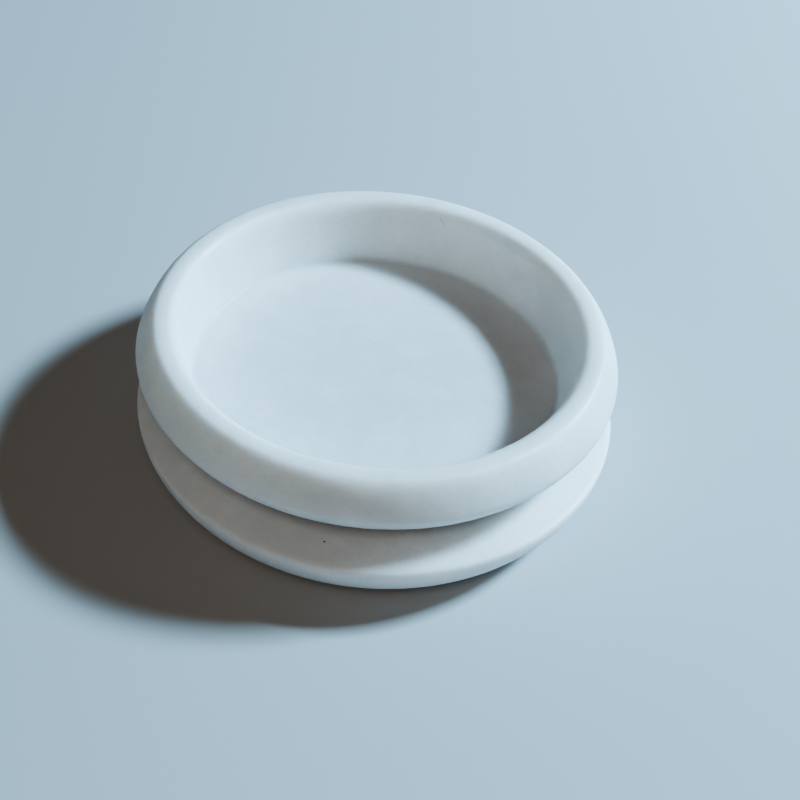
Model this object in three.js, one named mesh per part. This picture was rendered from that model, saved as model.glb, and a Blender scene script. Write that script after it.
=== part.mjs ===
// Two round silicone casting moulds, one standing on the other.
//
// Millimetres, +Z up. The origin is the middle of the lower mould's base, on the table. Each mould is a
// single casting of white silicone rubber, turned about its own upright axis: a flat floor, a cavity wall
// that opens towards the mouth, a soft lip, a flat rim, and an outer wall that swells and then tucks in to
// the base. The upper mould is a deep dish. The lower one is shallower, with a broad flat rim that turns down
// over a tight shoulder. The upper one has been set down by hand, off the middle of the lower one's rim.

import * as THREE from 'three';

// ---- Driving dimensions ------------------------------------------------------------------------------

const FACETS = 72; // flat sides around each turned body
const CURVE_STEPS = 4; // straight steps along each curved stretch of an outline

const REST_GAP = 0.3; // clearance between the lower rim and the upper base
const SET_DOWN_X = -0.5; // how far the upper mould's axis stands off the lower one's
const SET_DOWN_Y = 5;

const UPPER = {
  height: 19.2, // base to rim
  floorThickness: 2.2, // silicone below the cavity floor
  baseRadius: 50.8, // edge of the flat base
  flankRun: 3.6, // how the outer wall leaves the base: outwards, and up
  flankRise: 2.5,
  swellRadius: 59.7, // widest circle of the outer wall
  swellHeight: 10.4, // height of that circle above the base
  swellBelow: 2.2, // how far the wall keeps upright below that circle, and above it
  swellAbove: 1.5,
  shoulderRadius: 56.5, // the corner that the shoulder rounds off
  rimOuterRadius: 54.3, // flat top of the rim
  rimInnerRadius: 52,
  mouthRadius: 49.1, // cavity wall just below the lip's inner rounding
  mouthDrop: 3, // depth of that rounding
  floorRadius: 46, // cavity wall at the floor
  floorFillet: 1.3, // rounding between wall and floor
};

const LOWER = {
  height: 14,
  floorThickness: 3,
  baseRadius: 49.6,
  flankRun: 4.2,
  flankRise: 0.8,
  swellRadius: 59.3,
  swellHeight: 12.7,
  swellBelow: 5.3,
  swellAbove: 1.1,
  shoulderRadius: 58,
  rimOuterRadius: 52.5,
  rimInnerRadius: 44.4,
  mouthRadius: 42.8,
  mouthDrop: 2,
  floorRadius: 41.4,
  floorFillet: 1.3,
};

const SILICONE_WHITE = 0xdde6ec;
const SILICONE_ROUGHNESS = 0.55;

// ---- Outline: radius across, height up, from the axis at the base to the axis at the cavity floor -----

// The base, then out and up to the widest circle, and over the rounded shoulder to the flat rim.
function addOuterWall(outline, m) {
  outline.moveTo(0, 0);
  outline.lineTo(m.baseRadius, 0);
  outline.bezierCurveTo(
    m.baseRadius + m.flankRun, m.flankRise,
    m.swellRadius, m.swellHeight - m.swellBelow,
    m.swellRadius, m.swellHeight,
  );
  outline.bezierCurveTo(
    m.swellRadius, m.swellHeight + m.swellAbove,
    m.shoulderRadius, m.height,
    m.rimOuterRadius, m.height,
  );
}

// The flat rim, the lip rounded into the cavity, the sloping cavity wall, its fillet and the flat floor.
function addCavity(outline, m) {
  const filletTop = m.floorThickness + m.floorFillet;
  outline.lineTo(m.rimInnerRadius, m.height);
  outline.quadraticCurveTo(
    m.mouthRadius + m.mouthDrop / 3, m.height,
    m.mouthRadius, m.height - m.mouthDrop,
  );
  outline.lineTo(m.floorRadius + m.floorFillet / 4, filletTop);
  outline.quadraticCurveTo(
    m.floorRadius, m.floorThickness,
    m.floorRadius - m.floorFillet, m.floorThickness,
  );
  outline.lineTo(0, m.floorThickness);
}

// One mould on the Z axis, standing on z = 0.
function turnedMould(m) {
  const outline = new THREE.Path();
  addOuterWall(outline, m);
  addCavity(outline, m);
  const body = new THREE.LatheGeometry(outline.getPoints(CURVE_STEPS), FACETS);
  body.rotateX(Math.PI / 2);
  return body;
}

// ---- The two moulds ----------------------------------------------------------------------------------

function silicone() {
  return new THREE.MeshStandardMaterial({
    color: SILICONE_WHITE,
    roughness: SILICONE_ROUGHNESS,
    metalness: 0,
  });
}

const lowerMould = new THREE.Mesh(turnedMould(LOWER), silicone());
lowerMould.name = 'lower_mould';

const upperMould = new THREE.Mesh(turnedMould(UPPER), silicone());
upperMould.name = 'upper_mould';
upperMould.position.set(SET_DOWN_X, SET_DOWN_Y, LOWER.height + REST_GAP);

const stack = new THREE.Group();
stack.add(lowerMould, upperMould);

export default stack;
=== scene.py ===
"""Two white silicone casting moulds, one standing on the other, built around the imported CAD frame.

Both moulds are turned outlines on a fine mesh, made slightly uneven the way soft cast rubber is.
Blender's units are metres. Sizes below are in millimetres unless a comment says otherwise.
"""

import math

import bpy
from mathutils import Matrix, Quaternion, Vector, noise


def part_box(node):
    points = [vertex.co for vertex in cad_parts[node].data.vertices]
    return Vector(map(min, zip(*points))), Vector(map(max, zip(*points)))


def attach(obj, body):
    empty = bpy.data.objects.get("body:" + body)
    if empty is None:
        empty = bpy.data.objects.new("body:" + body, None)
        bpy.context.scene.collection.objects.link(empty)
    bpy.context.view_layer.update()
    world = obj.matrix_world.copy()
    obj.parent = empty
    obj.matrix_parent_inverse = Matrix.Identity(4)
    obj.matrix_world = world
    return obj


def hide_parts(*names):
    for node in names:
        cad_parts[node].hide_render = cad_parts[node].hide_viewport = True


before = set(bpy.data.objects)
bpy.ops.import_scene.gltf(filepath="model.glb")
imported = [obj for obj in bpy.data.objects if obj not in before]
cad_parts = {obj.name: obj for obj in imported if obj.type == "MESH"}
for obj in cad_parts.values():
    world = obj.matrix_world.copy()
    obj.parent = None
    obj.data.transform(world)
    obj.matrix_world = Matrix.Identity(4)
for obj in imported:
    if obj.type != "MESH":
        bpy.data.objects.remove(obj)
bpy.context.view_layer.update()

MM = 0.001  # one millimetre, in metres

# ---- Outlines of the two moulds, from each mould's own axis and base ---------------------------------

UPPER = dict(
    floor_thickness=2.2,  # silicone below the cavity floor
    base_radius=50.8, flank_run=3.6, flank_rise=2.5,  # how the outer wall leaves the base
    swell_height=10.4, swell_below=2.2, swell_above=1.5,  # its widest circle, and its upright stretch
    shoulder_inset=3.2, rim_outer_inset=5.4,  # the shoulder and the rim's outer edge, from that circle
    rim_inner_radius=52.0, mouth_radius=49.1, mouth_drop=3.0,  # the rounded lip
    floor_radius=46.0, floor_fillet=1.3,
    settle=0.2,  # how far the base reaches below the CAD node's, towards what it stands on
)
LOWER = dict(
    floor_thickness=3.0,
    base_radius=49.6, flank_run=4.2, flank_rise=0.8,
    swell_height=12.7, swell_below=5.3, swell_above=1.1,
    shoulder_inset=1.3, rim_outer_inset=6.8,
    rim_inner_radius=44.4, mouth_radius=42.8, mouth_drop=2.0,
    floor_radius=41.4, floor_fillet=1.3,
    settle=0.0,
)
BASE_EDGE_ROUNDING = 0.5

SEGMENTS = 256  # around the axis
CURVE_STEPS = 16  # along each curved stretch
FLAT_STEP = 3.0  # ring spacing on the base and the floor
WALL_STEP = 1.0  # ring spacing on the rim and the cavity wall

# Unevenness: the wall strays inwards and the rim downwards, by a fixed part, a slow and a quick one.
SLOW_WAVES = 1.3  # noise frequency around the axis
QUICK_WAVES = 4.5
QUICK_HEIGHT = 9.0  # height over which the quick part changes
WALL_RADIUS = 50.0  # full strength from here outwards
WALL_POWER = 6  # how fast it fades towards the axis
INWARDS = (0.16, 0.16, 0.05)
DOWNWARDS = (0.10, 0.12, 0.06)
DOWNWARDS_FROM = 0.4  # share of the height at which the rim's part begins


def place_of(node):
    """A mould's axis, base height, height and widest radius, from its CAD node."""
    low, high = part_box(node)
    centre = (Vector(low) + Vector(high)) / 2
    return dict(
        x=centre.x / MM, y=centre.y / MM, z=low[2] / MM,
        height=(high[2] - low[2]) / MM, swell_radius=(high[0] - low[0]) / 2 / MM,
    )


def straight(outline, end, step):
    """A straight stretch from the outline's last point, with points about one step apart."""
    start = Vector(outline[-1])
    end = Vector(end)
    count = max(1, round((end - start).length / step))
    outline.extend(tuple(start.lerp(end, i / count)) for i in range(1, count + 1))


def curve(outline, *controls):
    """A quadratic or cubic Bezier stretch from the outline's last point."""
    points = [Vector(outline[-1]), *map(Vector, controls)]
    for i in range(1, CURVE_STEPS + 1):
        layer = points
        while len(layer) > 1:
            layer = [a.lerp(b, i / CURVE_STEPS) for a, b in zip(layer, layer[1:])]
        outline.append(tuple(layer[0]))


def outline_of(m, place):
    """(radius, height) points from the middle of the base to the middle of the cavity floor."""
    height = place["height"]
    swell = place["swell_radius"]
    floor = m["floor_thickness"]
    fillet = m["floor_fillet"]
    base = -m["settle"]
    outline = [(0.0, base)]
    straight(outline, (m["base_radius"] - BASE_EDGE_ROUNDING, base), FLAT_STEP)
    curve(outline, (m["base_radius"] + m["flank_run"], m["flank_rise"]),
          (swell, m["swell_height"] - m["swell_below"]), (swell, m["swell_height"]))
    curve(outline, (swell, m["swell_height"] + m["swell_above"]),
          (swell - m["shoulder_inset"], height), (swell - m["rim_outer_inset"], height))
    straight(outline, (m["rim_inner_radius"], height), WALL_STEP)
    curve(outline, (m["mouth_radius"] + m["mouth_drop"] / 3, height),
          (m["mouth_radius"], height - m["mouth_drop"]))
    straight(outline, (m["floor_radius"] + fillet / 4, floor + fillet), WALL_STEP)
    curve(outline, (m["floor_radius"], floor), (m["floor_radius"] - fillet, floor))
    straight(outline, (0.0, floor), FLAT_STEP)
    return outline


def unevenness(radius, height, angle, seed, top):
    """How far soft cast rubber strays inwards and downwards from its true outline."""
    around = Vector((math.cos(angle), math.sin(angle), seed))
    slow = noise.noise(around * SLOW_WAVES)
    quick = noise.noise(around * QUICK_WAVES + Vector((0, 0, height / QUICK_HEIGHT)))
    at_wall = min(1.0, radius / WALL_RADIUS) ** WALL_POWER
    near_rim = max(0.0, height / top - DOWNWARDS_FROM)
    inwards, downwards = (fixed + by_slow * slow + by_quick * quick
                          for fixed, by_slow, by_quick in (INWARDS, DOWNWARDS))
    return at_wall * inwards, at_wall * near_rim * downwards


def turned_mesh(name, outline, place, seed):
    """The outline turned about the mould's axis, closed by a centre point at each end."""
    rings = outline[1:-1]
    verts = [(place["x"], place["y"], place["z"] + outline[0][1])]
    for radius, height in rings:
        for k in range(SEGMENTS):
            angle = math.tau * k / SEGMENTS
            inwards, downwards = unevenness(radius, height, angle, seed, place["height"])
            r = radius - inwards
            verts.append((place["x"] + r * math.cos(angle), place["y"] + r * math.sin(angle),
                          place["z"] + height - downwards))
    verts.append((place["x"], place["y"], place["z"] + outline[-1][1]))
    last = len(verts) - 1
    top = 1 + (len(rings) - 1) * SEGMENTS
    faces = []
    for k in range(SEGMENTS):
        after = (k + 1) % SEGMENTS
        faces.append((0, 1 + after, 1 + k))
        for i in range(len(rings) - 1):
            low = 1 + i * SEGMENTS
            high = low + SEGMENTS
            faces.append((low + k, low + after, high + after, high + k))
        faces.append((top + k, top + after, last))
    mesh = bpy.data.meshes.new(name)
    mesh.from_pydata([tuple(c * MM for c in v) for v in verts], [], faces)
    mesh.polygons.foreach_set("use_smooth", [True] * len(mesh.polygons))
    mesh.update()
    return mesh


# ---- Silicone ----------------------------------------------------------------------------------------

# Colours
CLOUD_DARK = (0.815, 0.820, 0.822, 1)
CLOUD_LIGHT = (0.875, 0.881, 0.887, 1)
GRAIN_DARK = (0.770, 0.776, 0.780, 1)
DUST = (0.40, 0.39, 0.38, 1)
SOOT = (0.02, 0.02, 0.02, 1)
CHALK = (0.98, 0.98, 0.98, 1)
RUB = (0.60, 0.61, 0.61, 1)

# Cloudiness: broad and narrow lumps, as (size, share of the pattern). Each range below is the stretch of
# a pattern over which it goes from nothing to full.
BROAD_CLOUD = (30.0, 0.65)
NARROW_CLOUD = (6.0, 0.35)
CLOUD_RANGE = (0.36, 0.64)

GRAIN_SIZE = 0.9
GRAIN_RANGE = (0.52, 0.78)
GRAIN_STRENGTH = 0.55
GRAIN_IN_ROUGHNESS = 0.4  # how much the grain adds to the rubbed patches

DUST_SPACING = 8.0
DUST_RADIUS = 0.26
DUST_SHARE = 0.06  # share of the cells that hold a speck
DUST_STRENGTH = 0.55
DUST_CORE = 0.4  # share of a speck's radius at full strength
MARK_CORE = 0.5

RUBBED_SIZE = 12.0
RUBBED_RANGE = (0.40, 0.75)
ROUGHNESS_RANGE = (0.1, 1.2)
ROUGHNESS = (0.44, 0.64)

# Relief, as (size across, depth, detail)
RIPPLE = (18.0, 0.30, 2.0)
PITTING = (1.8, 0.08, 3.0)
FINE_TEXTURE = (0.4, 0.03, 2.0)

SCATTER_DEPTH = 6.0
SCATTER_RADII = (1.0, 0.88, 0.78)  # red light travels furthest
SPECULAR = 0.45


class Nodes:
    """Short names for the shader nodes the silicone is made of. They work in object coordinates."""

    def __init__(self, material):
        material.use_nodes = True
        self.tree = material.node_tree
        self.shader = self.tree.nodes["Principled BSDF"]
        self.place = self.tree.nodes.new("ShaderNodeTexCoord").outputs["Object"]

    def link(self, value, socket):
        """Feed a socket from another node's output, or set it to a plain value."""
        if hasattr(value, "is_output"):
            self.tree.links.new(value, socket)
        else:
            socket.default_value = value

    def noise(self, size, detail):
        """Noise from about 0 to 1 with lumps of the given size."""
        node = self.tree.nodes.new("ShaderNodeTexNoise")
        node.inputs["Scale"].default_value = 1 / (size * MM)
        node.inputs["Detail"].default_value = detail
        self.link(self.place, node.inputs["Vector"])
        return node.outputs["Fac"]

    def ramp(self, value, start, end, low=0.0, high=1.0):
        """The value's stretch from start to end, eased between low and high."""
        node = self.tree.nodes.new("ShaderNodeMapRange")
        node.interpolation_type = "SMOOTHSTEP"
        for name, x in (("From Min", start), ("From Max", end), ("To Min", low), ("To Max", high)):
            node.inputs[name].default_value = x
        self.link(value, node.inputs["Value"])
        return node.outputs["Result"]

    def math(self, operation, a, b):
        node = self.tree.nodes.new("ShaderNodeMath")
        node.operation = operation
        self.link(a, node.inputs[0])
        self.link(b, node.inputs[1])
        return node.outputs["Value"]

    def vector(self, operation, a, b, output="Vector"):
        node = self.tree.nodes.new("ShaderNodeVectorMath")
        node.operation = operation
        self.link(a, node.inputs[0])
        self.link(b, node.inputs[1])
        return node.outputs[output]

    def mix(self, factor, a, b):
        node = self.tree.nodes.new("ShaderNodeMix")
        node.data_type = "RGBA"
        self.link(factor, node.inputs["Factor"])
        self.link(a, node.inputs["A"])
        self.link(b, node.inputs["B"])
        return node.outputs["Result"]

    def specks(self, spacing, radius, share):
        """Round specks, 1 in the middle and 0 outside: one in some of the cells of the given spacing."""
        node = self.tree.nodes.new("ShaderNodeTexVoronoi")
        node.inputs["Scale"].default_value = 1 / (spacing * MM)
        self.link(self.place, node.inputs["Vector"])
        spot = self.ramp(node.outputs["Distance"], radius / spacing, DUST_CORE * radius / spacing)
        cell = self.vector("DOT_PRODUCT", node.outputs["Color"], (1, 0, 0), "Value")
        return self.math("MULTIPLY", spot, self.math("LESS_THAN", cell, share))

    def mark(self, centre, half_sizes):
        """A soft spot around a point, 1 in the middle; half_sizes are its reaches along X, Y and Z."""
        away = self.vector("DIVIDE", self.vector("SUBTRACT", self.place, centre), half_sizes)
        return self.ramp(self.vector("LENGTH", away, (0, 0, 0), "Value"), 1.0, MARK_CORE)

    def bump(self, height, depth, below=None):
        """A relief of the given depth, on top of another one's normal if there is one."""
        node = self.tree.nodes.new("ShaderNodeBump")
        node.inputs["Strength"].default_value = 1.0
        node.inputs["Distance"].default_value = depth * MM
        self.link(height, node.inputs["Height"])
        if below:
            self.link(below, node.inputs["Normal"])
        return node.outputs["Normal"]


def silicone(name, marks):
    """Matt white casting silicone: faint cloudiness, a fine grain, rubbed patches, dust and marks."""
    material = bpy.data.materials.new(name)
    n = Nodes(material)
    broad, narrow = (n.math("MULTIPLY", n.noise(size, 3.0), share)
                     for size, share in (BROAD_CLOUD, NARROW_CLOUD))
    cloud = n.math("ADD", broad, narrow)
    white = n.mix(n.ramp(cloud, *CLOUD_RANGE), CLOUD_DARK, CLOUD_LIGHT)
    grain = n.noise(GRAIN_SIZE, 3.0)
    white = n.mix(n.ramp(grain, *GRAIN_RANGE, 0.0, GRAIN_STRENGTH), white, GRAIN_DARK)
    dust = n.specks(DUST_SPACING, DUST_RADIUS, DUST_SHARE)
    white = n.mix(n.math("MULTIPLY", dust, DUST_STRENGTH), white, DUST)
    for centre, half_sizes, colour, strength in marks:
        white = n.mix(n.math("MULTIPLY", n.mark(centre, half_sizes), strength), white, colour)
    n.link(white, n.shader.inputs["Base Color"])

    rubbed = n.ramp(n.noise(RUBBED_SIZE, 4.0), *RUBBED_RANGE)
    rubbed = n.math("ADD", rubbed, n.math("MULTIPLY", grain, GRAIN_IN_ROUGHNESS))
    n.link(n.ramp(rubbed, *ROUGHNESS_RANGE, *ROUGHNESS), n.shader.inputs["Roughness"])

    relief = None
    for size, depth, detail in (RIPPLE, PITTING, FINE_TEXTURE):
        relief = n.bump(n.noise(size, detail), depth, relief)
    n.link(relief, n.shader.inputs["Normal"])

    n.shader.inputs["Subsurface Weight"].default_value = 1.0
    n.shader.inputs["Subsurface Radius"].default_value = SCATTER_RADII
    n.shader.inputs["Subsurface Scale"].default_value = SCATTER_DEPTH * MM
    n.shader.inputs["Specular IOR Level"].default_value = SPECULAR
    return material


# ---- The pieces --------------------------------------------------------------------------------------

def spot(node, radius, degrees, height, half_sizes, colour, strength):
    """A mark on a mould, by its place around the mould's axis and its height above the base."""
    place = place_of(node)
    angle = math.radians(degrees)
    centre = (place["x"] + radius * math.cos(angle), place["y"] + radius * math.sin(angle),
              place["z"] + height)
    return tuple(c * MM for c in centre), tuple(h * MM for h in half_sizes), colour, strength


def make_mould(name, node, body, m, seed, marks):
    place = place_of(node)
    piece = bpy.data.objects.new(name, turned_mesh(name, outline_of(m, place), place, seed))
    bpy.context.scene.collection.objects.link(piece)
    piece.data.materials.append(silicone(name + "_silicone", marks))
    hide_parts(node)
    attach(piece, body)


# A dark speck and a pale one on the lower rim.
lower_marks = [
    spot("lower_mould", 51.9, -99.7, 13.9, (0.34, 0.26, 0.4), SOOT, 1.0),
    spot("lower_mould", 53.3, -49.5, 13.9, (0.42, 0.36, 0.4), CHALK, 1.0),
]
# A short slanting scratch high on the upper cavity's wall, and a rub mark on its floor.
SCRATCH_SPOTS = 5
INWARD_STEP, TURN_STEP, DOWN_STEP = 0.1, 0.4, 0.32  # the turn is in degrees
upper_marks = [
    spot("upper_mould", 49.25 - INWARD_STEP * i, 74.1 - TURN_STEP * i, 17.0 - DOWN_STEP * i,
         (0.34, 0.34, 0.34), RUB, 0.45)
    for i in range(SCRATCH_SPOTS)
]
upper_marks.append(spot("upper_mould", 23.7, 26.0, 2.2, (0.28, 1.0, 0.4), RUB, 0.5))

make_mould("lower_casting_mould", "lower_mould", "lower", LOWER, 3.0, lower_marks)
make_mould("upper_casting_mould", "upper_mould", "upper", UPPER, 11.0, upper_marks)

# ---- Stage, light and camera, in metres and degrees --------------------------------------------------

FLOOR_SIZE = 6.0
FLOOR_COLOUR = (0.55, 0.558, 0.57, 1)
FLOOR_ROUGHNESS = 0.9

# A light's azimuth is 0 towards +X and 90 towards -Y.
LIGHT_DISTANCE = 1.5
KEY = dict(azimuth=-23, elevation=39, width=0.300, height=0.160, strength=15.8,
           colour=(0.45, 0.775, 1.0))
FILL = dict(azimuth=98, elevation=50, width=0.6, height=0.6, strength=1.42,
            colour=(1.0, 0.87, 0.73))
WORLD_STRENGTH = 0.05
WORLD_COLOUR = (1.0, 0.93, 0.86, 1)

# The camera aims a little to the right and to the front of the middle of the upper mould's rim.
# At azimuth 0 it looks along +Y.
AIM_RIGHT = 0.0059
AIM_FRONT = 0.0286
CAMERA_AZIMUTH = 1.43
CAMERA_ELEVATION = 42.55
CAMERA_ROLL = 6.09
CAMERA_DISTANCE = 0.3203
SENSOR_MM = 36
LENS_MM = 63
CLIP = (0.01, 20)


def make_floor():
    half = FLOOR_SIZE / 2
    corners = [(-half, -half, 0), (half, -half, 0), (half, half, 0), (-half, half, 0)]
    mesh = bpy.data.meshes.new("floor")
    mesh.from_pydata(corners, [], [(0, 1, 2, 3)])
    floor = bpy.data.objects.new("floor", mesh)
    bpy.context.scene.collection.objects.link(floor)
    material = bpy.data.materials.new("floor_paint")
    material.use_nodes = True
    shader = material.node_tree.nodes["Principled BSDF"]
    shader.inputs["Base Color"].default_value = FLOOR_COLOUR
    shader.inputs["Roughness"].default_value = FLOOR_ROUGHNESS
    mesh.materials.append(material)


def make_softbox(name, azimuth, elevation, width, height, strength, colour):
    """An area light aimed at the origin. Strength is the light it casts there, whatever the distance."""
    a, e = math.radians(azimuth), math.radians(elevation)
    towards = Vector((math.cos(a) * math.cos(e), -math.sin(a) * math.cos(e), math.sin(e)))
    data = bpy.data.lights.new(name, "AREA")
    data.shape = "RECTANGLE"
    data.size, data.size_y = width, height
    data.energy = strength * LIGHT_DISTANCE ** 2
    data.color = colour
    light = bpy.data.objects.new(name, data)
    light.location = towards * LIGHT_DISTANCE
    light.rotation_euler = (-towards).to_track_quat("-Z", "Y").to_euler()
    bpy.context.scene.collection.objects.link(light)


def make_world():
    world = bpy.data.worlds.new("studio")
    bpy.context.scene.world = world
    world.use_nodes = True
    background = world.node_tree.nodes["Background"]
    background.inputs["Color"].default_value = WORLD_COLOUR
    background.inputs["Strength"].default_value = WORLD_STRENGTH


def make_camera():
    low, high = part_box("upper_mould")
    aim = Vector(((low[0] + high[0]) / 2 + AIM_RIGHT, (low[1] + high[1]) / 2 - AIM_FRONT, high[2]))
    azimuth, elevation = math.radians(CAMERA_AZIMUTH), math.radians(CAMERA_ELEVATION)
    forward = Vector((math.sin(azimuth) * math.cos(elevation),
                      math.cos(azimuth) * math.cos(elevation), -math.sin(elevation)))
    data = bpy.data.cameras.new("camera")
    data.sensor_width = SENSOR_MM
    data.lens = LENS_MM
    data.clip_start, data.clip_end = CLIP
    camera = bpy.data.objects.new("camera", data)
    camera.location = aim - forward * CAMERA_DISTANCE
    camera.rotation_mode = "QUATERNION"
    roll = Quaternion((0, 0, 1), math.radians(CAMERA_ROLL))
    camera.rotation_quaternion = forward.to_track_quat("-Z", "Y") @ roll
    bpy.context.scene.collection.objects.link(camera)
    bpy.context.scene.camera = camera


make_floor()
make_softbox("key", **KEY)
make_softbox("fill", **FILL)
make_world()
make_camera()
view_settings = bpy.context.scene.view_settings
view_settings.view_transform = "AgX"
view_settings.look = "AgX - Very High Contrast"
